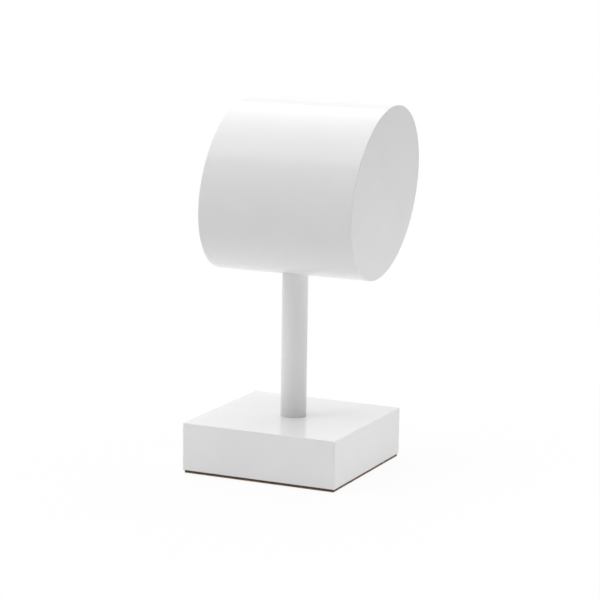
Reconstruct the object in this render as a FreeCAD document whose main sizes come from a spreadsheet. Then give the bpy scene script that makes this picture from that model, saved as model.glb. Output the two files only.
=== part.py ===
import FreeCAD, Part
import os
import Sketcher

# Counter stand for a watch or bracelet: a weighted square block, one round post and a lying oval drum.
# Millimetres, +Z up. The origin is the middle of the pad's underside, where the stand rests.
# +X runs along the drum, and +Y points to the back. The drum turns on the post, about Z.

driving_sizes = [
    ("base_width", 60.0, "block, left to right"),
    ("base_depth", 60.0, "block, front to back"),
    ("base_height", 17.5, "block, without the pad"),
    ("edge_round", 0.25, "sanded edges of the block and the drum's rims"),
    ("pad_thickness", 1.1, "sheet under the block"),
    ("pad_inset", 0.5, "pad edge back from the block's sides"),
    ("plate_width", 43.4, "steel ballast plate, square"),
    ("plate_thickness", 6.0, "steel ballast plate"),
    ("plate_corner", 2.7, "corner radius of the ballast plate"),
    ("plate_gap", 0.3, "round the plate in its pocket"),
    ("plate_recess", 0.4, "plate's underside above the block's underside"),
    ("wood_screw_diameter", 3.0, "ballast screws"),
    ("wood_screw_head", 6.0, "countersunk head of the ballast screws"),
    ("wood_screw_bite", 6.0, "length of the ballast screws in the block"),
    ("wood_screw_offset", 15.0, "ballast screws left and right of the post"),
    ("post_diameter", 9.5, "outside of the post"),
    ("post_wall", 1.0, "tube wall of the post"),
    ("post_chamfer", 0.3, "both ends of the post"),
    ("foot_depth", 6.0, "post let into the block's top"),
    ("plug_length", 12.0, "tapped plug in each end of the post"),
    ("bolt_diameter", 5.0, "thread of the two machine screws"),
    ("bolt_clearance", 0.25, "round the machine screws in plate, block and washers"),
    ("bolt_tip", 0.5, "chamfer at a machine screw's end"),
    ("post_bolt_head", 9.4, "countersunk head of the post screw"),
    ("post_bolt_key", 3.0, "hexagon socket of the post screw, across flats"),
    ("post_bolt_grip", 8.9, "length of the post screw in the lower plug"),
    ("head_bolt_head", 8.5, "cap head of the head screw"),
    ("head_bolt_cap", 5.0, "height of that cap head"),
    ("head_bolt_key", 4.0, "hexagon socket of the head screw, across flats"),
    ("head_bolt_grip", 7.3, "length of the head screw in the upper plug"),
    ("key_depth", 1.8, "depth of both hexagon sockets"),
    ("washer_diameter", 10.0, "flat washer and disc spring, outside"),
    ("washer_thickness", 1.0, "flat washer"),
    ("spring_thickness", 0.5, "sheet of the disc spring"),
    ("spring_rise", 0.2, "cone height of the disc spring"),
    ("oval_major", 70.0, "long axis of the drum's oval section"),
    ("oval_minor", 53.5, "short axis of the drum's oval section"),
    ("oval_tilt", 43.0, "long axis above the horizontal, rising to the back, in degrees"),
    ("head_length", 60.0, "drum, over both end caps"),
    ("head_setback", 12.0, "drum's centre behind the post"),
    ("head_height", 83.0, "drum's centre above the block's top"),
    ("shell_wall", 3.0, "wall of the drum's shell"),
    ("shell_clearance", 0.1, "round the post where it enters the shell"),
    ("cap_thickness", 3.0, "end caps, the part that shows"),
    ("cap_spigot", 4.0, "end caps, the part inside the shell"),
    ("seat_drop", 18.3, "post's upper end below the drum's centre"),
    ("block_width", 24.0, "mounting block in the drum, along X"),
    ("block_depth", 24.0, "mounting block in the drum, along Y"),
    ("block_web", 5.0, "mounting block above the post's end"),
    ("turning_fit", 0.05, "round the post in the mounting block"),
    ("glue_gap", 0.05, "round a pressed or glued piece"),
]

doc = FreeCAD.newDocument("OvalDrumStand")
sheet = doc.addObject("Spreadsheet::Sheet", "Sizes")
for row, (alias, amount, note) in enumerate(driving_sizes, start=1):
    sheet.set(f"A{row}", alias)
    sheet.set(f"B{row}", str(amount))
    sheet.setAlias(f"B{row}", alias)
    sheet.set(f"C{row}", note)
doc.recompute()

# Levels and widths that several pieces share, as expressions of the sheet's cells.
base_top = "(Sizes.pad_thickness + Sizes.base_height)"
plate_bottom = "(Sizes.pad_thickness + Sizes.plate_recess)"
pocket_depth = "(Sizes.plate_recess + Sizes.plate_thickness)"
pocket_width = "(Sizes.plate_width + 2 * Sizes.plate_gap)"
post_bottom = f"({base_top} - Sizes.foot_depth)"
head_level = f"({base_top} + Sizes.head_height)"
post_top = f"({head_level} - Sizes.seat_drop)"
post_length = f"({post_top} - {post_bottom})"
post_bore = "(Sizes.post_diameter - 2 * Sizes.post_wall)"
block_top = "(Sizes.block_web - Sizes.seat_drop)"
washer_level = f"({head_level} + {block_top})"
spring_level = f"({washer_level} + Sizes.washer_thickness)"
head_bolt_level = f"({spring_level} + Sizes.spring_thickness + Sizes.spring_rise)"
bolt_radius = "(Sizes.bolt_diameter / 2)"
bolt_hole = "(Sizes.bolt_diameter + 2 * Sizes.bolt_clearance)"

pieces = []


def value(expression):
    result = sheet.evalExpression(expression)
    return float(getattr(result, "Value", result))


def new_piece(name, x="0", y="0", z="0"):
    piece = doc.addObject("PartDesign::Body", name)
    piece.Label = name
    for axis, place in (("x", x), ("y", y), ("z", z)):
        piece.setExpression(f"Placement.Base.{axis}", place)
    pieces.append(piece)
    return piece


# A sketch on one of the piece's own planes, moved along its own axes where that is asked for.
def new_sketch(piece, role, right="0", away="0"):
    plane = next(item for item in piece.Origin.OriginFeatures if item.Role == role)
    drawing = piece.newObject("Sketcher::SketchObject", f"{piece.Name}_sketch")
    drawing.AttachmentSupport = (plane, [""])
    drawing.MapMode = "FlatFace"
    drawing.setExpression("AttachmentOffset.Base.x", right)
    drawing.setExpression("AttachmentOffset.Base.z", away)
    return drawing


def constrain(drawing, amount, *constraint):
    number = drawing.addConstraint(Sketcher.Constraint(*constraint, value(amount)))
    drawing.setExpression(f"Constraints[{number}]", amount)


def fix_point(drawing, geometry, point, x, y):
    constrain(drawing, x, "DistanceX", -1, 1, geometry, point)
    constrain(drawing, y, "DistanceY", -1, 1, geometry, point)


# A closed run of straight lines through corners given as (x, y) expressions.
def draw_outline(drawing, corners):
    first = drawing.GeometryCount
    count = len(corners)
    points = [FreeCAD.Vector(value(x), value(y), 0) for x, y in corners]
    for index in range(count):
        drawing.addGeometry(Part.LineSegment(points[index], points[(index + 1) % count]))
    for index, (x, y) in enumerate(corners):
        following = first + (index + 1) % count
        drawing.addConstraint(Sketcher.Constraint("Coincident", first + index, 2, following, 1))
        fix_point(drawing, first + index, 1, x, y)


def draw_rectangle(drawing, width, depth, x="0", y="0"):
    signs = [(-1, -1), (1, -1), (1, 1), (-1, 1)]
    draw_outline(drawing, [(f"{x} + {i} * {width} / 2", f"{y} + {j} * {depth} / 2") for i, j in signs])


def draw_circle(drawing, diameter, x="0", y="0"):
    centre = FreeCAD.Vector(value(x), value(y), 0)
    ring = drawing.addGeometry(Part.Circle(centre, FreeCAD.Vector(0, 0, 1), value(diameter) / 2))
    constrain(drawing, diameter, "Diameter", ring)
    fix_point(drawing, ring, 3, x, y)


def draw_hexagon(drawing, across_flats):
    corner = f"{across_flats} / sqrt(3)"
    turns = [f"{60 * step} deg" for step in range(6)]
    draw_outline(drawing, [(f"{corner} * cos({turn})", f"{corner} * sin({turn})") for turn in turns])


# The drum's oval section about the sketch's origin, drawn in by the inset all round.
def draw_oval(drawing, inset="0"):
    major = f"(Sizes.oval_major - 2 * {inset})"
    minor = f"(Sizes.oval_minor - 2 * {inset})"
    oval = drawing.addGeometry(Part.Ellipse(FreeCAD.Vector(0, 0, 0), value(major) / 2, value(minor) / 2))
    drawing.exposeInternalGeometry(oval)
    major_line = oval + 1
    minor_line = oval + 2
    drawing.addConstraint(Sketcher.Constraint("Coincident", oval, 3, -1, 1))
    constrain(drawing, major, "Distance", major_line)
    constrain(drawing, minor, "Distance", minor_line)
    tilt = drawing.addConstraint(Sketcher.Constraint("Angle", major_line, 0.5))
    drawing.setExpression(f"Constraints[{tilt}]", "Sizes.oval_tilt * 1 deg")


def add_pad(piece, drawing, length, side="One side", backwards=False):
    pad = piece.newObject("PartDesign::Pad", f"{piece.Name}_pad")
    pad.Profile = drawing
    pad.SideType = side
    pad.Reversed = backwards
    pad.setExpression("Length", length)
    doc.recompute()


# A pocket runs against the sketch's normal, or along it where along is set. No depth cuts right through.
def add_pocket(piece, drawing, depth=None, along=False, side="One side"):
    before = piece.Shape.Volume
    pocket = piece.newObject("PartDesign::Pocket", f"{piece.Name}_pocket")
    pocket.Profile = drawing
    pocket.SideType = side
    pocket.Reversed = along
    if depth:
        pocket.setExpression("Length", depth)
    else:
        pocket.Type = "ThroughAll"
    doc.recompute()
    if piece.Shape.Volume >= before:
        raise RuntimeError(f"{pocket.Name} cuts nothing")


# A solid or a recess turned about a vertical line, from its half outline in (radius, height) pairs.
def add_turned(piece, corners, kind="Revolution", right="0"):
    profile = new_sketch(piece, "XZ_Plane", right=right)
    draw_outline(profile, corners)
    turned = piece.newObject(f"PartDesign::{kind}", f"{piece.Name}_{kind.lower()}")
    turned.Profile = profile
    turned.ReferenceAxis = (profile, ["V_Axis"])
    turned.Angle = 360
    doc.recompute()


def round_edges(piece, wanted, radius):
    base = piece.Tip
    edges = [f"Edge{n}" for n, edge in enumerate(base.Shape.Edges, start=1) if wanted(edge)]
    fillet = piece.newObject("PartDesign::Fillet", f"{piece.Name}_fillet")
    fillet.Base = (base, edges)
    fillet.setExpression("Radius", radius)
    doc.recompute()


def is_vertical(edge):
    ends = [vertex.Point for vertex in edge.Vertexes]
    return len(ends) == 2 and (ends[0] - ends[1]).cross(FreeCAD.Vector(0, 0, 1)).Length < 1e-6


# Countersunk recess or head: a right-angled cone that starts at the head's diameter.
def countersink(head, shank, depth):
    cone = f"({head} - {shank}) / 2"
    return [("0", "0"), (f"{head} / 2", "0"), (f"{shank} / 2", cone), (f"{shank} / 2", depth), ("0", depth)]


def ring_outline(inner, outer, height):
    return [(inner, "0"), (outer, "0"), (outer, height), (inner, height)]


def make_base_pad():
    pad = new_piece("base_pad")
    outline = new_sketch(pad, "XY_Plane")
    draw_rectangle(
        outline,
        "(Sizes.base_width - 2 * Sizes.pad_inset)",
        "(Sizes.base_depth - 2 * Sizes.pad_inset)",
    )
    add_pad(pad, outline, "Sizes.pad_thickness")


# The block has a pocket for the ballast in its underside and a socket for the post in its top.
def make_base_block():
    block = new_piece("base_block", z="Sizes.pad_thickness")
    outline = new_sketch(block, "XY_Plane")
    draw_rectangle(outline, "Sizes.base_width", "Sizes.base_depth")
    add_pad(block, outline, "Sizes.base_height")
    round_edges(block, lambda edge: True, "Sizes.edge_round")

    pocket = new_sketch(block, "XY_Plane")
    draw_rectangle(pocket, pocket_width, pocket_width)
    add_pocket(block, pocket, pocket_depth, along=True)
    corner = value(pocket_width) / 2
    round_edges(
        block,
        lambda edge: is_vertical(edge) and abs(abs(edge.CenterOfMass.x) - corner) < 1e-6,
        "(Sizes.plate_corner + Sizes.plate_gap)",
    )

    socket = new_sketch(block, "XY_Plane", away="Sizes.base_height")
    draw_circle(socket, "(Sizes.post_diameter + 2 * Sizes.glue_gap)")
    add_pocket(block, socket, "Sizes.foot_depth")
    hole = new_sketch(block, "XY_Plane")
    draw_circle(hole, bolt_hole)
    add_pocket(block, hole, along=True)
    pilots = new_sketch(block, "XY_Plane")
    for sign in ("-", ""):
        draw_circle(pilots, "(Sizes.wood_screw_diameter + 2 * Sizes.glue_gap)", f"{sign}Sizes.wood_screw_offset")
    add_pocket(block, pilots, f"({pocket_depth} + Sizes.wood_screw_bite)", along=True)


def make_ballast():
    plate = new_piece("ballast_plate", z=plate_bottom)
    outline = new_sketch(plate, "XY_Plane")
    draw_rectangle(outline, "Sizes.plate_width", "Sizes.plate_width")
    add_pad(plate, outline, "Sizes.plate_thickness")
    round_edges(plate, is_vertical, "Sizes.plate_corner")
    recess = countersink("Sizes.post_bolt_head", bolt_hole, "Sizes.plate_thickness")
    add_turned(plate, recess, "Groove")

    screws = new_piece("ballast_screws", z=plate_bottom)
    screws.AllowCompound = True
    shank = "Sizes.wood_screw_diameter"
    length = "(Sizes.plate_thickness + Sizes.wood_screw_bite)"
    hole = "(Sizes.wood_screw_diameter + 2 * Sizes.glue_gap)"
    for sign in ("-", ""):
        place = f"{sign}Sizes.wood_screw_offset"
        recess = countersink("Sizes.wood_screw_head", hole, "Sizes.plate_thickness")
        add_turned(plate, recess, "Groove", right=place)
        add_turned(screws, countersink("Sizes.wood_screw_head", shank, length), right=place)


# Countersunk machine screw, head down, up through plate and block into the post's lower plug.
def make_post_screw():
    screw = new_piece("post_screw", z=plate_bottom)
    web = "(Sizes.base_height - Sizes.plate_recess - Sizes.foot_depth)"
    length = f"({web} + Sizes.post_bolt_grip)"
    cone = f"(Sizes.post_bolt_head / 2 - {bolt_radius})"
    add_turned(screw, [
        ("0", "0"),
        ("Sizes.post_bolt_head / 2", "0"),
        (bolt_radius, cone),
        (bolt_radius, f"{length} - Sizes.bolt_tip"),
        (f"{bolt_radius} - Sizes.bolt_tip", length),
        ("0", length),
    ])
    key = new_sketch(screw, "XY_Plane")
    draw_hexagon(key, "Sizes.post_bolt_key")
    add_pocket(screw, key, "Sizes.key_depth", along=True)


def make_post():
    tube = new_piece("post_tube", z=post_bottom)
    inner = f"{post_bore} / 2"
    outer = "Sizes.post_diameter / 2"
    add_turned(tube, [
        (inner, "0"),
        (f"{outer} - Sizes.post_chamfer", "0"),
        (outer, "Sizes.post_chamfer"),
        (outer, f"{post_length} - Sizes.post_chamfer"),
        (f"{outer} - Sizes.post_chamfer", post_length),
        (inner, post_length),
    ])
    plug_places = [("post_lower_plug", post_bottom), ("post_upper_plug", f"{post_top} - Sizes.plug_length")]
    for name, level in plug_places:
        plug = new_piece(name, z=level)
        thread = f"{bolt_radius} + Sizes.glue_gap"
        add_turned(plug, ring_outline(thread, f"{post_bore} / 2 - Sizes.glue_gap", "Sizes.plug_length"))


def make_head_shell():
    shell = new_piece("head_shell", y="Sizes.head_setback", z=head_level)
    section = new_sketch(shell, "YZ_Plane")
    draw_oval(section)
    draw_oval(section, "Sizes.shell_wall")
    add_pad(shell, section, "(Sizes.head_length - 2 * Sizes.cap_thickness)", side="Symmetric")
    entry = new_sketch(shell, "XY_Plane")
    draw_circle(entry, "(Sizes.post_diameter + 2 * Sizes.shell_clearance)", y="-Sizes.head_setback")
    add_pocket(shell, entry)


# A cap is a full oval disc that closes the shell's end, with a smaller disc let into the shell.
def make_head_cap(name, sign):
    place = f"{sign} * (Sizes.head_length / 2 - Sizes.cap_thickness)"
    cap = new_piece(name, x=place, y="Sizes.head_setback", z=head_level)
    disc = new_sketch(cap, "YZ_Plane")
    draw_oval(disc)
    add_pad(cap, disc, "Sizes.cap_thickness", backwards=sign < 0)
    outside = sign * value("Sizes.cap_thickness")
    round_edges(cap, lambda edge: abs(edge.CenterOfMass.x - outside) < 1e-6, "Sizes.edge_round")
    spigot = new_sketch(cap, "YZ_Plane")
    draw_oval(spigot, "(Sizes.shell_wall + Sizes.glue_gap)")
    add_pad(cap, spigot, "Sizes.cap_spigot", backwards=sign > 0)


# The mounting block lies on the shell's inside, and the post's end turns in its socket.
def make_head_block():
    block = new_piece("head_block", y="Sizes.head_setback", z=head_level)
    outline = new_sketch(block, "XY_Plane", away=block_top)
    draw_rectangle(outline, "Sizes.block_width", "Sizes.block_depth", y="-Sizes.head_setback")
    add_pad(block, outline, "Sizes.oval_major", backwards=True)
    outside = new_sketch(block, "YZ_Plane")
    draw_rectangle(outside, "(4 * Sizes.oval_major)", "(4 * Sizes.oval_major)")
    draw_oval(outside, "(Sizes.shell_wall + Sizes.glue_gap)")
    add_pocket(block, outside, side="Symmetric")
    socket = new_sketch(block, "XY_Plane", away="-Sizes.seat_drop")
    draw_circle(socket, "(Sizes.post_diameter + 2 * Sizes.turning_fit)", y="-Sizes.head_setback")
    add_pocket(block, socket)
    hole = new_sketch(block, "XY_Plane", away=block_top)
    draw_circle(hole, bolt_hole, y="-Sizes.head_setback")
    add_pocket(block, hole)


# Cap screw down through spring, washer and mounting block into the post's upper plug.
def make_head_fastening():
    washer = new_piece("flat_washer", z=washer_level)
    outer = "Sizes.washer_diameter / 2"
    inner = f"{bolt_hole} / 2"
    add_turned(washer, ring_outline(inner, outer, "Sizes.washer_thickness"))

    spring = new_piece("disc_spring", z=spring_level)
    add_turned(spring, [
        (inner, "Sizes.spring_rise"),
        (outer, "0"),
        (outer, "Sizes.spring_thickness"),
        (inner, "(Sizes.spring_rise + Sizes.spring_thickness)"),
    ])

    screw = new_piece("head_screw", z=head_bolt_level)
    tip = f"(Sizes.head_bolt_grip + {head_bolt_level} - {post_top})"
    add_turned(screw, [
        ("0", f"-{tip}"),
        (f"{bolt_radius} - Sizes.bolt_tip", f"-{tip}"),
        (bolt_radius, f"Sizes.bolt_tip - {tip}"),
        (bolt_radius, "0"),
        ("Sizes.head_bolt_head / 2", "0"),
        ("Sizes.head_bolt_head / 2", "Sizes.head_bolt_cap"),
        ("0", "Sizes.head_bolt_cap"),
    ])
    key = new_sketch(screw, "XY_Plane", away="Sizes.head_bolt_cap")
    draw_hexagon(key, "Sizes.head_bolt_key")
    add_pocket(screw, key, "Sizes.key_depth")


make_base_pad()
make_base_block()
make_ballast()
make_post_screw()
make_post()
make_head_shell()
make_head_cap("head_cap_left", -1)
make_head_cap("head_cap_right", 1)
make_head_block()
make_head_fastening()
doc.recompute()

for item in doc.Objects:
    if "Invalid" in item.State or "Error" in item.State:
        raise RuntimeError(f"{item.Name} failed: {item.State}")
for piece in pieces:
    if piece.Shape.isNull() or not piece.Shape.isValid():
        raise RuntimeError(f"{piece.Label} has no valid shape")

os.makedirs("parts", exist_ok=True)
for piece in pieces:
    piece.Shape.exportStep(f"parts/{piece.Label}.step")
    box = piece.Shape.BoundBox
    print(
        f"{piece.Label}: {len(piece.Shape.Solids)} solid(s), {piece.Shape.Volume:.1f} mm3, "
        f"x {box.XMin:.2f}..{box.XMax:.2f}, y {box.YMin:.2f}..{box.YMax:.2f}, z {box.ZMin:.2f}..{box.ZMax:.2f}"
    )
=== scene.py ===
import math
import bmesh
import bpy
from mathutils import Matrix, Vector, noise


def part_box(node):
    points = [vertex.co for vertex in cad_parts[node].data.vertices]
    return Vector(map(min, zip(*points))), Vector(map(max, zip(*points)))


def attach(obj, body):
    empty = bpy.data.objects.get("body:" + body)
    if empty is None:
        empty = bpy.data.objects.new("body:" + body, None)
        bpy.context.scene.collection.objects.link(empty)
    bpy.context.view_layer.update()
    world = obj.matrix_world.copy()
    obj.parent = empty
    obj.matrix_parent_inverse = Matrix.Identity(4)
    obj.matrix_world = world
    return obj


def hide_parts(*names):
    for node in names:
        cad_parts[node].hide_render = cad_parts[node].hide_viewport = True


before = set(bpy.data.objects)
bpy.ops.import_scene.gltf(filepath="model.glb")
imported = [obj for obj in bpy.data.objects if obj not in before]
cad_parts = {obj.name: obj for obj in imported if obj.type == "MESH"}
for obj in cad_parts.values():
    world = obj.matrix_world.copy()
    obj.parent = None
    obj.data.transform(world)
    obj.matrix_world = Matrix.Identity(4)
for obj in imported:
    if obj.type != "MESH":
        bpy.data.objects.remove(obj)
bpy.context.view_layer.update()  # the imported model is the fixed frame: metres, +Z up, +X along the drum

# A counter stand for a watch or bracelet: weighted block, round post, lying oval drum.
# Sizes in the dictionaries are millimetres, places come from the frame's own boxes.
mm = 0.001
shellLow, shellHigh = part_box("head_shell")
leftLow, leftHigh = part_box("head_cap_left")
rightLow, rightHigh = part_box("head_cap_right")
blockLow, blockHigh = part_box("base_block")
padLow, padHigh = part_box("base_pad")
postLow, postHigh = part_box("post_tube")
print("frame loaded,", len(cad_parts), "CAD pieces")


# sRGB hex to the linear colour that the shaders work in
def linearColour(hexText):
    levels = [int(hexText[place:place + 2], 16) / 255 for place in (1, 3, 5)]
    linear = [v / 12.92 if v <= 0.04045 else ((v + 0.055) / 1.055) ** 2.4 for v in levels]
    return (*linear, 1.0)


# Adds one node: its settings, then the value or the link for each input named or numbered.
# A colour Mix takes its share at 0 and its two colours at 6 and 7, and gives its result at 2.
def addNode(tree, kind, settings=None, inputs=None, ramp=None):
    node = tree.nodes.new("ShaderNode" + kind)
    for name, setting in (settings or {}).items():
        setattr(node, name, setting)
    for socket, source in (inputs or {}).items():
        if isinstance(source, bpy.types.NodeSocket):
            tree.links.new(source, node.inputs[socket])
        else:
            node.inputs[socket].default_value = source
    if ramp:
        stops = node.color_ramp.elements
        while len(stops) < len(ramp):
            stops.new(0.5)
        for stop, (place, colour) in zip(stops, ramp):
            stop.position = place
            stop.color = colour
    return node


def newMaterial(name):
    material = bpy.data.materials.new(name)
    material.use_nodes = True
    material.node_tree.nodes.clear()
    return material, material.node_tree


# noise scale for a pattern whose features are this many millimetres apart
def perMetre(size):
    return 1 / (size * mm)


noiseSpan = (0.35, 0.65)      # a soft noise texture's values mostly lie between these
grainSpan = (0.3, 0.7)        # and those of a more detailed one between these
bandGap = math.pi / 5 / math.sqrt(2)  # how far apart a wave texture's slanting bands are at scale 1

# Pigmented lacquer, sprayed in several coats and rubbed down: white, satin, with soft wide
# reflections, a faint orange peel and a trace of unevenness in its gloss.
lacquer = {
    "rubbed": "#F1F1F0",     # lacquer thinned on sanded edges
    "paintedFootShade": "#D8D8D7",       # painted shade: the post greys towards its foot, where the block's top and the drum shade it
    "footShadeReach": 30.0,       # how far up from the foot the painted shade reaches
    "footShadeFade": 2.0,         # how quickly the painted shade fades on the way up
    "cloudSize": 18.0,       # slow drift of the spray passes
    "peelSize": 1.5,         # orange peel of a spray gun
    "peelHeight": 0.008,
    "gritSize": 0.35,        # 600 grit scratches are finer, drawn this coarse to show at all
    "gritHeight": 0.0016,
    "roughness": (0.14, 0.19),
    "edgeRoughness": 0.08,   # more on the sanded edges
    "ior": 1.5,
}

# light and dark end of the drift of each piece's coat
coats = {
    "drum": ("#EFEFEF", "#EDEDED"),
    "block": ("#F2F2F2", "#F0F0F0"),
    "post": ("#EEEEEE", "#ECECEC"),
}


def sprayedLacquer(name, look, coat, peelShare=1.0, foot=None):
    material, tree = newMaterial(name)
    place = addNode(tree, "TexCoord").outputs["Object"]
    clouds = addNode(tree, "TexNoise", {}, {
        "Vector": place, "Scale": perMetre(look["cloudSize"]), "Detail": 2.0, "Roughness": 0.5})
    peel = addNode(tree, "TexNoise", {}, {
        "Vector": place, "Scale": perMetre(look["peelSize"]), "Detail": 1.0, "Roughness": 0.4})
    grit = addNode(tree, "TexNoise", {}, {
        "Vector": place, "Scale": perMetre(look["gritSize"]), "Detail": 3.0, "Roughness": 0.6})
    edge = addNode(tree, "Attribute", {"attribute_name": "edgeShare"}).outputs["Fac"]
    body = addNode(tree, "ValToRGB", {}, {"Fac": clouds.outputs["Fac"]}, ramp=[
        (noiseSpan[0], linearColour(coat[1])), (noiseSpan[1], linearColour(coat[0]))])
    paint = addNode(tree, "Mix", {"data_type": "RGBA"}, {
        0: edge, 6: body.outputs["Color"], 7: linearColour(look["rubbed"])})
    # painted shade: the paint is mixed towards grey near the post's foot
    if foot is not None:
        height = addNode(tree, "SeparateXYZ", {}, {"Vector": place}).outputs["Z"]
        rising = addNode(tree, "MapRange", {}, {
            "Value": height, "From Min": foot, "From Max": foot + look["footShadeReach"] * mm,
            "To Min": 1.0, "To Max": 0.0})
        paintedFootShade = addNode(tree, "Math", {"operation": "POWER"}, {
            0: rising.outputs["Result"], 1: look["footShadeFade"]})
        paint = addNode(tree, "Mix", {"data_type": "RGBA"}, {
            0: paintedFootShade.outputs["Value"], 6: paint.outputs[2], 7: linearColour(look["paintedFootShade"])})
    sheen = addNode(tree, "MapRange", {}, {
        "Value": grit.outputs["Fac"], "From Min": grainSpan[0], "From Max": grainSpan[1],
        "To Min": look["roughness"][0], "To Max": look["roughness"][1]})
    dulled = addNode(tree, "Math", {"operation": "MULTIPLY_ADD"}, {
        0: edge, 1: look["edgeRoughness"], 2: sheen.outputs["Result"]})
    fine = addNode(tree, "Bump", {}, {
        "Height": grit.outputs["Fac"], "Distance": look["gritHeight"] * mm, "Strength": 1.0})
    relief = addNode(tree, "Bump", {}, {
        "Height": peel.outputs["Fac"], "Distance": look["peelHeight"] * peelShare * mm,
        "Strength": 1.0, "Normal": fine.outputs["Normal"]})
    shader = addNode(tree, "BsdfPrincipled", {}, {
        "Base Color": paint.outputs[2], "Roughness": dulled.outputs["Value"],
        "IOR": look["ior"], "Normal": relief.outputs["Normal"]})
    addNode(tree, "OutputMaterial", {}, {"Surface": shader.outputs["BSDF"]})
    return material


# Fibreboard sands smooth before it is sprayed, drawn steel leaves a stronger orange peel.
drumLacquer = sprayedLacquer("sprayLacqueredDrumMdf", lacquer, coats["drum"])
blockLacquer = sprayedLacquer("sprayLacqueredBlockMdf", lacquer, coats["block"])
# The post's lacquer also carries painted shade towards its foot.
postLacquer = sprayedLacquer("sprayLacqueredSteel", lacquer, coats["post"], peelShare=1.4,
                             foot=blockHigh.z)

# Embossed PVC leatherette on a tan woven backing: pebbled brown skin, creases darker than
# the pebbles, and a thin light band in the backing's tan along the lower rim.
leatherette = {
    "skin": "#4A362A",
    "crease": "#2A1D16",
    "backing": ("#A97C50", "#C49A69"),
    "tanBandHeight": 0.3,       # up the cut edge
    "tanBandWidth": 0.5,        # in from the outline, on the underside
    "tanBandWander": 0.48,      # how far the band's edge strays
    "tanBandBlur": 0.12,
    "pebbleSize": 0.9,
    "pebbleHeight": 0.05,
    "creaseTo": 0.12,        # a pebble's flank ends here, as a share of the pebble size
    "crownFrom": 0.4,        # and its flat top starts here
    "flank": 0.6,            # height where the flank ends
    "bendSize": 2.5,         # the pebbles are bent out of line by this much and at this spacing
    "bendReach": 0.4,
    "threadSize": 1.0,       # the backing's own threads are nearer 0.4, drawn this coarse to show
    "roughness": (0.48, 0.66),
    "ior": 1.52,
}


def embossedLeatherette(name, look, low, high):
    material, tree = newMaterial(name)
    place = addNode(tree, "TexCoord").outputs["Object"]
    bend = addNode(tree, "TexNoise", {}, {
        "Vector": place, "Scale": perMetre(look["bendSize"]), "Detail": 1.0})
    bent = addNode(tree, "VectorMath", {"operation": "MULTIPLY_ADD"}, {
        0: bend.outputs["Color"], 1: (look["bendReach"] * mm,) * 3, 2: place})
    pebbles = addNode(tree, "TexVoronoi", {"feature": "DISTANCE_TO_EDGE"}, {
        "Vector": bent.outputs["Vector"], "Scale": perMetre(look["pebbleSize"])})
    domed = addNode(tree, "ValToRGB", {}, {"Fac": pebbles.outputs["Distance"]}, ramp=[
        (0.0, (0, 0, 0, 1)), (look["creaseTo"], (*(look["flank"],) * 3, 1)),
        (look["crownFrom"], (1, 1, 1, 1))])
    skin = addNode(tree, "Mix", {"data_type": "RGBA"}, {
        0: domed.outputs["Color"], 6: linearColour(look["crease"]), 7: linearColour(look["skin"])})
    threads = addNode(tree, "TexWave", {"wave_type": "BANDS", "bands_direction": "DIAGONAL"}, {
        "Vector": place, "Scale": perMetre(look["threadSize"]) * bandGap, "Distortion": 1.0})
    cloth = addNode(tree, "Mix", {"data_type": "RGBA"}, {
        0: threads.outputs["Fac"], 6: linearColour(look["backing"][0]),
        7: linearColour(look["backing"][1])})
    fromMiddle = addNode(tree, "VectorMath", {"operation": "ABSOLUTE"}, {0: place})
    apart = addNode(tree, "SeparateXYZ", {}, {"Vector": fromMiddle.outputs["Vector"]})
    outward = addNode(tree, "Math", {"operation": "MAXIMUM"}, {
        0: apart.outputs["X"], 1: apart.outputs["Y"]})
    wander = look["tanBandWander"] * mm
    blur = look["tanBandBlur"] * mm
    rim = high.x - look["tanBandWidth"] * mm
    top = low.z + look["tanBandHeight"] * mm
    edges = []
    for distance, limit, way in ((outward.outputs["Value"], rim, 1), (apart.outputs["Z"], top, -1)):
        strayed = addNode(tree, "Math", {"operation": "MULTIPLY_ADD"}, {
            0: bend.outputs["Fac"], 1: way * wander, 2: distance})
        middle = limit + way * wander / 2
        edges.append(addNode(tree, "MapRange", {}, {
            "Value": strayed.outputs["Value"], "From Min": middle - way * blur / 2,
            "From Max": middle + way * blur / 2}).outputs["Result"])
    tanBand = addNode(tree, "Math", {"operation": "MULTIPLY"}, {0: edges[0], 1: edges[1]})
    colour = addNode(tree, "Mix", {"data_type": "RGBA"}, {
        0: tanBand.outputs["Value"], 6: skin.outputs[2], 7: cloth.outputs[2]})
    dull = addNode(tree, "MapRange", {}, {
        "Value": domed.outputs["Color"],
        "To Min": look["roughness"][1], "To Max": look["roughness"][0]})
    relief = addNode(tree, "Bump", {}, {
        "Height": domed.outputs["Color"], "Distance": look["pebbleHeight"] * mm, "Strength": 1.0})
    shader = addNode(tree, "BsdfPrincipled", {}, {
        "Base Color": colour.outputs[2], "Roughness": dull.outputs["Result"],
        "IOR": look["ior"], "Normal": relief.outputs["Normal"]})
    addNode(tree, "OutputMaterial", {}, {"Surface": shader.outputs["BSDF"]})
    return material


brownLeatherette = embossedLeatherette("embossedLeatherette", leatherette, padLow, padHigh)
print("materials made")

creaseAngle = math.radians(32)  # faces that meet at more than this have a sharp edge between them


# Turns an edited mesh into a piece: smooth faces, sharp where two faces meet at a real edge.
def finishPiece(name, mesh, material, body, nodes):
    worked = bmesh.new()
    worked.from_mesh(mesh)
    bmesh.ops.recalc_face_normals(worked, faces=worked.faces)
    for edge in worked.edges:
        edge.smooth = not (len(edge.link_faces) == 2 and edge.calc_face_angle() > creaseAngle)
    for face in worked.faces:
        face.smooth = True
    worked.to_mesh(mesh)
    worked.free()
    mesh.materials.clear()
    mesh.materials.append(material)
    piece = bpy.data.objects.new(name, mesh)
    bpy.context.scene.collection.objects.link(piece)
    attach(piece, body)
    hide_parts(*nodes)
    return piece


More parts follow.
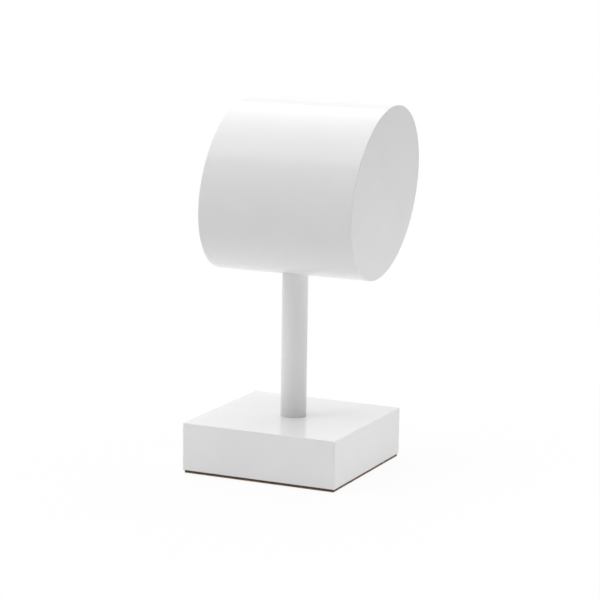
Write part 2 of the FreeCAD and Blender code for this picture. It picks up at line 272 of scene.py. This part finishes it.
# Joins rings of points, all with the same count, into a skin. Open ends are closed by a fan.
# The edgeShare of a ring is how far its points lie on a sanded edge.
def loftRings(name, rings, joined=False, edgeShares=None):
    worked = bmesh.new()
    share = worked.verts.layers.float.new("edgeShare")
    levels = []
    for number, ring in enumerate(rings):
        made = [worked.verts.new(point) for point in ring]
        for vertex in made:
            vertex[share] = edgeShares[number] if edgeShares else 0.0
        levels.append(made)
    count = len(rings[0])
    pairs = list(zip(levels, levels[1:])) + ([(levels[-1], levels[0])] if joined else [])
    for lower, upper in pairs:
        for k in range(count):
            after = (k + 1) % count
            worked.faces.new((lower[k], lower[after], upper[after], upper[k]))
    if not joined:
        for level in (levels[0], levels[-1]):
            hub = worked.verts.new(sum((vertex.co for vertex in level), Vector()) / count)
            for k in range(count):
                worked.faces.new((level[k], level[(k + 1) % count], hub))
    mesh = bpy.data.meshes.new(name)
    worked.to_mesh(mesh)
    worked.free()
    return mesh


# A solid round bar or ring, from its outline in (radius, height), about a vertical line.
def turnedMesh(name, outline, centre=(0, 0), steps=96, joined=True):
    rings = []
    for radius, height in outline:
        rings.append([Vector((
            centre[0] + radius * math.cos(math.tau * k / steps),
            centre[1] + radius * math.sin(math.tau * k / steps),
            height)) for k in range(steps)])
    return loftRings(name, rings, joined)


overrun = 5 * mm              # how far a cutter stands out of the piece it cuts
shortestEdge = 0.001 * mm     # cutting leaves slivers shorter than this, which are welded away


# Cuts each cutter mesh out of a mesh.
def cutOut(mesh, cutters):
    scene = bpy.context.scene
    stock = bpy.data.objects.new("stock", mesh)
    scene.collection.objects.link(stock)
    tools = []
    for cutter in cutters:
        tool = bpy.data.objects.new("cutter", cutter)
        scene.collection.objects.link(tool)
        tools.append(tool)
        cut = stock.modifiers.new("cut", "BOOLEAN")
        cut.operation = "DIFFERENCE"
        cut.solver = "EXACT"
        cut.object = tool
    ready = stock.evaluated_get(bpy.context.evaluated_depsgraph_get())
    result = bpy.data.meshes.new_from_object(ready)
    for extra in [stock, *tools]:
        bpy.data.objects.remove(extra)
    worked = bmesh.new()
    worked.from_mesh(result)
    bmesh.ops.remove_doubles(worked, verts=worked.verts, dist=shortestEdge)
    bmesh.ops.triangulate(worked, faces=[face for face in worked.faces if len(face.verts) > 4])
    bmesh.ops.dissolve_degenerate(worked, edges=worked.edges, dist=shortestEdge)
    worked.to_mesh(result)
    worked.free()
    return result


# The oval drum: a shell with two closed ends, flush and lacquered over, so no seam shows.
drum = {
    "long": 70.0,
    "short": 53.5,
    "tilt": 43.0,            # long axis above the horizontal, rising to the back
    "wall": 3.0,
    "rimRound": 0.25,
    "rimSteps": 6,
    "rimWear": (1.0, 0.3),   # how far the lacquer is rubbed on the rim and just beside it
    "rimSupports": (0.04, 0.35, 1.2),  # rings beside the rim that keep the faces' shading flat
    "faceRings": (0.86, 0.7, 0.54, 0.38, 0.22, 0.08),  # shares of the oval, across the end face
    "backRings": (0.7, 0.4, 0.08),
    "spigotInset": 3.05,     # the end's spigot fits inside the shell's wall
    "postHole": 9.7,
    "pointsRound": 224,
    "cellLength": 1.5,
}
drumCentre = (shellLow + shellHigh) / 2


def ovalRing(look, x, inset=0.0, share=1.0):
    tilt = math.radians(look["tilt"])
    ring = []
    for k in range(look["pointsRound"]):
        turn = math.tau * k / look["pointsRound"]
        along = (look["long"] / 2 - inset) * share * math.cos(turn) * mm
        across = (look["short"] / 2 - inset) * share * math.sin(turn) * mm
        ring.append(Vector((
            x,
            drumCentre.y + along * math.cos(tilt) - across * math.sin(tilt),
            drumCentre.z + along * math.sin(tilt) + across * math.cos(tilt))))
    return ring


def makeDrumShell(look):
    length = shellHigh.x - shellLow.x
    steps = round(length / (look["cellLength"] * mm))
    stations = [shellLow.x + length * k / steps for k in range(steps + 1)]
    rings = [ovalRing(look, x) for x in stations]
    rings += [ovalRing(look, x, look["wall"]) for x in reversed(stations)]
    shell = loftRings("drumShell", rings, joined=True)
    radius = look["postHole"] / 2 * mm
    below = shellLow.z - overrun
    drill = turnedMesh("drill", [(radius, below), (radius, drumCentre.z)], joined=False)
    return finishPiece("drumShell", cutOut(shell, [drill]), drumLacquer,
                       "head", ["head_shell"])


# side is -1 for the left end and 1 for the right end
def makeDrumEnd(look, name, side, low, high, node):
    face = high.x if side > 0 else low.x
    seam = shellHigh.x if side > 0 else shellLow.x
    back = low.x if side > 0 else high.x
    spigot = look["spigotInset"]
    rim = look["rimRound"]
    onRim, beside = look["rimWear"]
    near, middle, far = look["rimSupports"]
    # depth in from the end face, inset from the oval, and wear, from the side over the rim
    profile = [(far, 0.0, 0.0), (rim + middle, 0.0, 0.0), (rim + near, 0.0, beside)]
    for k in range(look["rimSteps"] + 1):
        turn = math.pi / 2 * k / look["rimSteps"]
        profile.append((rim * (1 - math.sin(turn)), rim * (1 - math.cos(turn)), onRim))
    profile += [(0.0, rim + near, beside), (0.0, rim + middle, 0.0), (0.0, far, 0.0)]
    inner = [ovalRing(look, back, spigot, share) for share in reversed(look["backRings"])]
    inner += [ovalRing(look, back, spigot), ovalRing(look, seam, spigot)]
    rings = inner + [ovalRing(look, seam)]
    shares = [0.0] * len(rings)
    for depth, inset, wear in profile:
        rings.append(ovalRing(look, face - side * depth * mm, inset))
        shares.append(wear)
    for share in look["faceRings"]:
        rings.append(ovalRing(look, face, 0.0, share))
        shares.append(0.0)
    mesh = loftRings(name, rings, edgeShares=shares)
    return finishPiece(name, mesh, drumLacquer, "head", [node])


makeDrumShell(drum)
makeDrumEnd(drum, "drumEndLeft", -1, leftLow, leftHigh, "head_cap_left")
makeDrumEnd(drum, "drumEndRight", 1, rightLow, rightHigh, "head_cap_right")
print("drum made")

# The block: fibreboard with sanded edges, a pocket for the ballast and a socket for the post.
block = {
    "edgeRound": 0.25,
    "supports": (0.05, 0.35, 0.8),  # lines beside the edges that keep the faces' shading flat
    "cell": 5.0,
    "pocket": 44.0,
    "pocketCorner": 3.0,
    "pocketDepth": 6.4,
    "socket": 9.6,
    "socketDepth": 6.0,
    "boltHole": 5.5,
    "boltOverrun": 1.0,      # its drill comes out in the socket
    "pilotHole": 3.1,
    "pilotOffset": 15.0,
    "pilotDepth": 12.4,
}
roundSteps = 5                # grid lines over half of an edge's round
sameSpot = 1e-7               # points of neighbouring grids this near each other are one point
onFlat = 1e-9                 # a point this little past the end of a flat still lies on it


# A box with rounded edges, as a grid that is close near the edges and open over the faces.
def roundedBox(name, low, high, radius, cell, supports):
    middle, half = (low + high) / 2, (high - low) / 2
    lines = []
    for size in half:
        flat = size - radius
        rim = [flat + radius * math.tan(math.pi / 4 * k / roundSteps) for k in range(roundSteps + 1)]
        near = [flat - gap * mm for gap in supports if gap * mm < flat / 2]
        reach = min(near) if near else flat
        count = max(1, round(2 * reach / (cell * mm)))
        field = [-reach + 2 * reach * k / count for k in range(count + 1)]
        outer = sorted(near[:-1]) + rim
        lines.append([-v for v in reversed(outer)] + field + outer)
    worked = bmesh.new()
    share = worked.verts.layers.float.new("edgeShare")
    corner = half - Vector((radius,) * 3)
    for axis in range(3):
        first, second = [other for other in range(3) if other != axis]
        for side in (-1, 1):
            rows = []
            for u in lines[first]:
                row = []
                for v in lines[second]:
                    raw = Vector()
                    raw[first], raw[second], raw[axis] = u, v, side * half[axis]
                    core = Vector([max(-limit, min(limit, part)) for part, limit in zip(raw, corner)])
                    vertex = worked.verts.new(middle + core + (raw - core).normalized() * radius)
                    beyond = sum(abs(part) > limit + onFlat for part, limit in zip(raw, corner))
                    vertex[share] = 1.0 if beyond > 1 else 0.0
                    row.append(vertex)
                rows.append(row)
            for row, following in zip(rows, rows[1:]):
                for k in range(len(row) - 1):
                    worked.faces.new((row[k], following[k], following[k + 1], row[k + 1]))
    bmesh.ops.remove_doubles(worked, verts=worked.verts, dist=sameSpot)
    bmesh.ops.recalc_face_normals(worked, faces=worked.faces)
    mesh = bpy.data.meshes.new(name)
    worked.to_mesh(mesh)
    worked.free()
    return mesh


# An upright prism on a rounded square, for the pocket's cutter.
def squarePrism(name, width, corner, bottom, top, steps=8):
    ring = []
    for quarter in range(4):
        for k in range(steps + 1):
            turn = math.radians(90 * quarter + 90 * k / steps)
            centre = (width / 2 - corner) * Vector((
                1 if quarter in (0, 3) else -1, 1 if quarter in (0, 1) else -1))
            ring.append(centre + corner * Vector((math.cos(turn), math.sin(turn))))
    rings = [[Vector((p.x * mm, p.y * mm, z)) for p in ring] for z in (bottom, top)]
    return loftRings(name, rings)


def makeBlock(look):
    body = roundedBox("standBlock", blockLow, blockHigh, look["edgeRound"] * mm, look["cell"],
                      look["supports"])
    under = blockLow.z - overrun
    socket = look["socket"] / 2 * mm
    bolt = look["boltHole"] / 2 * mm
    pilot = look["pilotHole"] / 2 * mm
    floor = blockHigh.z - look["socketDepth"] * mm
    tools = [
        squarePrism("pocket", look["pocket"], look["pocketCorner"], under,
                    blockLow.z + look["pocketDepth"] * mm),
        turnedMesh("socket", [(socket, floor), (socket, blockHigh.z + overrun)], joined=False),
        turnedMesh("bolt", [(bolt, under), (bolt, floor + look["boltOverrun"] * mm)],
                   joined=False),
    ]
    for side in (-1, 1):
        place = (side * look["pilotOffset"] * mm, 0.0)
        tools.append(turnedMesh("pilot", [
            (pilot, under), (pilot, blockLow.z + look["pilotDepth"] * mm)],
            place, steps=32, joined=False))
    return finishPiece("standBlock", cutOut(body, tools), blockLacquer,
                       "stand", ["base_block"])


makeBlock(block)

# The post: steel tube, both ends chamfered, let into the block and into the drum.
post = {"outside": 9.5, "wall": 1.0, "chamfer": 0.3, "cell": 2.0}


def makePost(look):
    outer = look["outside"] / 2 * mm
    inner = outer - look["wall"] * mm
    chamfer = look["chamfer"] * mm
    count = round((postHigh.z - postLow.z) / (look["cell"] * mm))
    straight = postHigh.z - postLow.z - 2 * chamfer
    outline = [(inner, postLow.z), (outer - chamfer, postLow.z)]
    outline += [(outer, postLow.z + chamfer + straight * k / count) for k in range(count + 1)]
    outline += [(outer - chamfer, postHigh.z), (inner, postHigh.z)]
    mesh = turnedMesh("standPost", outline)
    return finishPiece("standPost", mesh, postLacquer,
                       "stand", ["post_tube"])


makePost(post)
print("block and post made")

# The pad: a die-cut sheet, its edge a little uneven and its lower edge rubbed round.
pad = {
    "edgeRound": 0.1,
    "supports": (0.05,),
    "cell": 1.0,
    "cutWaver": 0.06,        # how far in the die's cut strays
    "waverSize": 4.0,
    "rimBand": 0.5,          # points this near the outline move with the cut
}


def makePad(look):
    mesh = roundedBox("standPad", padLow, padHigh, look["edgeRound"] * mm, look["cell"],
                      look["supports"])
    for vertex in mesh.vertices:
        where = Vector((vertex.co.x, vertex.co.y, 0.0)) * perMetre(look["waverSize"])
        inward = (0.5 + 0.5 * noise.noise(where)) * look["cutWaver"] * mm
        for axis, limit in ((0, padHigh.x), (1, padHigh.y)):
            if abs(vertex.co[axis]) > limit - look["rimBand"] * mm:
                vertex.co[axis] -= math.copysign(inward, vertex.co[axis])
    return finishPiece("standPad", mesh, brownLeatherette,
                       "stand", ["base_pad"])


makePad(pad)
print("pad made")

# Bare metals inside the stand. Bright zinc plate is a pale bluish grey with cloudy patches of
# sheen, hot rolled steel is dark and dull under its mill scale, and phosphated spring steel
# is nearly black with a fine matt grain.
metals = {
    "zinc": {"light": "#C9CDD0", "dark": "#A9AFB5", "roughness": (0.24, 0.4), "patchSize": 2.0},
    "mill": {"light": "#6E7073", "dark": "#44474C", "roughness": (0.42, 0.62), "patchSize": 5.0},
    "spring": {"light": "#4E4C4A", "dark": "#35332F", "roughness": (0.5, 0.68), "patchSize": 0.4},
}
metalRelief = 0.01


def bareMetal(name, look):
    material, tree = newMaterial(name)
    place = addNode(tree, "TexCoord").outputs["Object"]
    patches = addNode(tree, "TexNoise", {}, {
        "Vector": place, "Scale": perMetre(look["patchSize"]), "Detail": 5.0, "Roughness": 0.6})
    colour = addNode(tree, "ValToRGB", {}, {"Fac": patches.outputs["Fac"]}, ramp=[
        (noiseSpan[0], linearColour(look["dark"])), (noiseSpan[1], linearColour(look["light"]))])
    dull = addNode(tree, "MapRange", {}, {
        "Value": patches.outputs["Fac"], "From Min": noiseSpan[0], "From Max": noiseSpan[1],
        "To Min": look["roughness"][0], "To Max": look["roughness"][1]})
    relief = addNode(tree, "Bump", {}, {
        "Height": patches.outputs["Fac"], "Distance": metalRelief * mm, "Strength": 1.0})
    shader = addNode(tree, "BsdfPrincipled", {}, {
        "Base Color": colour.outputs["Color"], "Metallic": 1.0,
        "Roughness": dull.outputs["Result"], "Normal": relief.outputs["Normal"]})
    addNode(tree, "OutputMaterial", {}, {"Surface": shader.outputs["BSDF"]})
    return material


zincPlate = bareMetal("brightZincPlate", metals["zinc"])
millSteel = bareMetal("hotRolledSteel", metals["mill"])
springSteel = bareMetal("phosphatedSpringSteel", metals["spring"])

# Raw sawn beech: pale pinkish brown and matt, with short darker flecks along the grain.
beech = {
    "light": "#C79A6B",
    "dark": "#A87848",
    "fleck": "#8A5E36",
    "grainWidth": 1.2,
    "grainStretch": 0.12,    # the grain runs along X, where its pattern is stretched by this
    "grainRelief": 0.04,
    "darkFrom": 0.45,        # noise value between the flecks and the lighter wood
    "roughness": (0.54, 0.7),
}


def sawnBeech(name, look):
    material, tree = newMaterial(name)
    place = addNode(tree, "TexCoord").outputs["Object"]
    stretched = addNode(tree, "Mapping", {}, {
        "Vector": place, "Scale": (look["grainStretch"], 1.0, 1.0)})
    grain = addNode(tree, "TexNoise", {}, {
        "Vector": stretched.outputs["Vector"], "Scale": perMetre(look["grainWidth"]),
        "Detail": 4.0})
    colour = addNode(tree, "ValToRGB", {}, {"Fac": grain.outputs["Fac"]}, ramp=[
        (grainSpan[0], linearColour(look["fleck"])), (look["darkFrom"], linearColour(look["dark"])),
        (grainSpan[1], linearColour(look["light"]))])
    dull = addNode(tree, "MapRange", {}, {
        "Value": grain.outputs["Fac"], "From Min": grainSpan[0], "From Max": grainSpan[1],
        "To Min": look["roughness"][1], "To Max": look["roughness"][0]})
    relief = addNode(tree, "Bump", {}, {
        "Height": grain.outputs["Fac"], "Distance": look["grainRelief"] * mm, "Strength": 1.0})
    shader = addNode(tree, "BsdfPrincipled", {}, {
        "Base Color": colour.outputs["Color"], "Roughness": dull.outputs["Result"],
        "Normal": relief.outputs["Normal"]})
    addNode(tree, "OutputMaterial", {}, {"Surface": shader.outputs["BSDF"]})
    return material


rawBeech = sawnBeech("rawBeech", beech)

insideFinishes = {
    "ballast_plate": millSteel,
    "ballast_screws": zincPlate,
    "post_screw": zincPlate,
    "post_lower_plug": zincPlate,
    "post_upper_plug": zincPlate,
    "head_screw": zincPlate,
    "flat_washer": zincPlate,
    "disc_spring": springSteel,
    "head_block": rawBeech,
}
for node, finish in insideFinishes.items():
    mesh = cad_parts[node].data
    mesh.materials.clear()
    mesh.materials.append(finish)
print("inside pieces finished")

# White paper floor in a white room. Seen directly or mirrored both are plain white, except
# that the floor near the stand keeps a share of its own shading, and so the stand's shadow.
studio = {
    "floor": "#F4F4F4",
    "whiteShare": 0.9,       # how far the floor near the stand is seen as plain white
    "whiteFrom": 45.0,       # from here outward the share grows to all of it
    "whiteTo": 200.0,
    "floorSize": 700.0,
    "floorGap": 0.01,        # between the floor and the pad
    "above": 0.40,           # the room's own light, by where it comes from
    "behind": 0.38,
    "front": 0.20,
    "left": 0.40,
}
roomSides = {"above": ("Z", 1), "behind": ("Y", 1), "front": ("Y", -1), "left": ("X", -1)}


def seenDirectly(tree):
    path = addNode(tree, "LightPath")
    first = addNode(tree, "Math", {"operation": "MAXIMUM"}, {
        0: path.outputs["Is Camera Ray"], 1: path.outputs["Is Glossy Ray"]})
    return addNode(tree, "Math", {"operation": "MAXIMUM"}, {
        0: first.outputs["Value"], 1: path.outputs["Is Transmission Ray"]}).outputs["Value"]


def makeRoom(look):
    world = bpy.data.worlds.new("whiteRoom")
    bpy.context.scene.world = world
    world.use_nodes = True
    tree = world.node_tree
    tree.nodes.clear()
    toward = addNode(tree, "SeparateXYZ", {}, {
        "Vector": addNode(tree, "TexCoord").outputs["Generated"]})
    total = 0.0
    for side, (axis, sign) in roomSides.items():
        turned = addNode(tree, "Math", {"operation": "MULTIPLY"}, {
            0: toward.outputs[axis], 1: sign})
        facing = addNode(tree, "Math", {"operation": "MAXIMUM"}, {
            0: turned.outputs["Value"], 1: 0.0})
        total = addNode(tree, "Math", {"operation": "MULTIPLY_ADD"}, {
            0: facing.outputs["Value"], 1: look[side], 2: total}).outputs["Value"]
    strength = addNode(tree, "MapRange", {}, {
        "Value": seenDirectly(tree), "To Min": total, "To Max": 1.0})
    sky = addNode(tree, "Background", {}, {
        "Color": (1, 1, 1, 1), "Strength": strength.outputs["Result"]})
    addNode(tree, "OutputWorld", {}, {"Surface": sky.outputs["Background"]})


# Matt white paper: even and pale, no sheen of its own.
def paperFloor(look):
    material, tree = newMaterial("paperFloor")
    paper = addNode(tree, "BsdfDiffuse", {}, {"Color": linearColour(look["floor"])})
    outward = addNode(tree, "VectorMath", {"operation": "LENGTH"}, {
        0: addNode(tree, "TexCoord").outputs["Object"]})
    white = addNode(tree, "MapRange", {}, {
        "Value": outward.outputs["Value"],
        "From Min": look["whiteFrom"] * mm, "From Max": look["whiteTo"] * mm,
        "To Min": look["whiteShare"], "To Max": 1.0})
    share = addNode(tree, "Math", {"operation": "MULTIPLY"}, {
        0: seenDirectly(tree), 1: white.outputs["Result"]})
    glow = addNode(tree, "Emission", {}, {"Color": (1, 1, 1, 1), "Strength": 1.0})
    both = addNode(tree, "MixShader", {}, {
        0: share.outputs["Value"], 1: paper.outputs["BSDF"], 2: glow.outputs["Emission"]})
    addNode(tree, "OutputMaterial", {}, {"Surface": both.outputs["Shader"]})
    return material


def makeFloor(look):
    mesh = bpy.data.meshes.new("studioFloor")
    reach = look["floorSize"] / 2 * mm
    level = padLow.z - look["floorGap"] * mm
    corners = [(-reach, -reach, level), (reach, -reach, level), (reach, reach, level),
               (-reach, reach, level)]
    mesh.from_pydata(corners, [], [(0, 1, 2, 3)])
    mesh.materials.append(paperFloor(look))
    floor = bpy.data.objects.new("studioFloor", mesh)
    bpy.context.scene.collection.objects.link(floor)


makeRoom(studio)
makeFloor(studio)

# Softboxes: place, aim and size in millimetres, power in watts. The unmirrored ones only fill.
softboxes = {
    "overhead": {"place": (0, 300, 900), "aim": (0, 300, 0), "size": (1400, 1500), "power": 7.1,
                 "mirrored": True},
    "frontLeft": {"place": (-1000, -800, 740), "aim": (0, 0, 60), "size": (800, 800), "power": 3.3,
                  "mirrored": False},
    "highLeft": {"place": (-1000, -200, 940), "aim": (0, 0, 60), "size": (800, 800), "power": 1.5,
                 "mirrored": False},
    "lowCard": {"place": (180, 0, 15), "aim": (30, 10, 60), "size": (120, 60), "power": 0.055,
                "mirrored": False},
}


def makeSoftbox(name, look):
    lamp = bpy.data.lights.new(name, "AREA")
    lamp.shape = "RECTANGLE"
    lamp.size = look["size"][0] * mm
    lamp.size_y = look["size"][1] * mm
    lamp.energy = look["power"]
    holder = bpy.data.objects.new(name, lamp)
    holder.visible_camera = False
    holder.visible_glossy = look["mirrored"]
    holder.location = Vector(look["place"]) * mm
    direction = (Vector(look["aim"]) - Vector(look["place"])).normalized()
    holder.rotation_euler = direction.to_track_quat("-Z", "Y").to_euler()
    bpy.context.scene.collection.objects.link(holder)


for name, look in softboxes.items():
    makeSoftbox(name, look)

# Camera: a long lens a little above the block, turned to the drum's right end.
view = {
    "azimuth": 24.477,
    "elevation": 10.268,
    "distance": 809.6,
    "aimHeight": 61.57,
    "slide": 1.80,           # to the camera's right
    "roll": 0.882,
    "lens": 133.505,
    "sensor": 36.0,
    "nearest": 10.0,         # nothing nearer or farther than these is drawn
    "farthest": 20000.0,
}


def makeCamera(look):
    turn, rise, roll = (math.radians(look[k]) for k in ("azimuth", "elevation", "roll"))
    back = Vector((math.sin(turn) * math.cos(rise), -math.cos(turn) * math.cos(rise), math.sin(rise)))
    right = Vector((0, 0, 1)).cross(back).normalized()
    up = back.cross(right)
    place = Vector((0, 0, look["aimHeight"] * mm)) + back * look["distance"] * mm
    place += right * look["slide"] * mm
    rolledRight = right * math.cos(roll) + up * math.sin(roll)
    rolledUp = up * math.cos(roll) - right * math.sin(roll)
    facing = Matrix((rolledRight, rolledUp, back)).transposed().to_4x4()
    camera = bpy.data.cameras.new("standCamera")
    camera.lens = look["lens"]
    camera.sensor_width = look["sensor"]
    camera.clip_start = look["nearest"] * mm
    camera.clip_end = look["farthest"] * mm
    holder = bpy.data.objects.new("standCamera", camera)
    holder.matrix_world = Matrix.Translation(place) @ facing
    bpy.context.scene.collection.objects.link(holder)
    bpy.context.scene.camera = holder


makeCamera(view)
bpy.context.scene.view_settings.view_transform = "Standard"
print("studio, lamps and camera set")
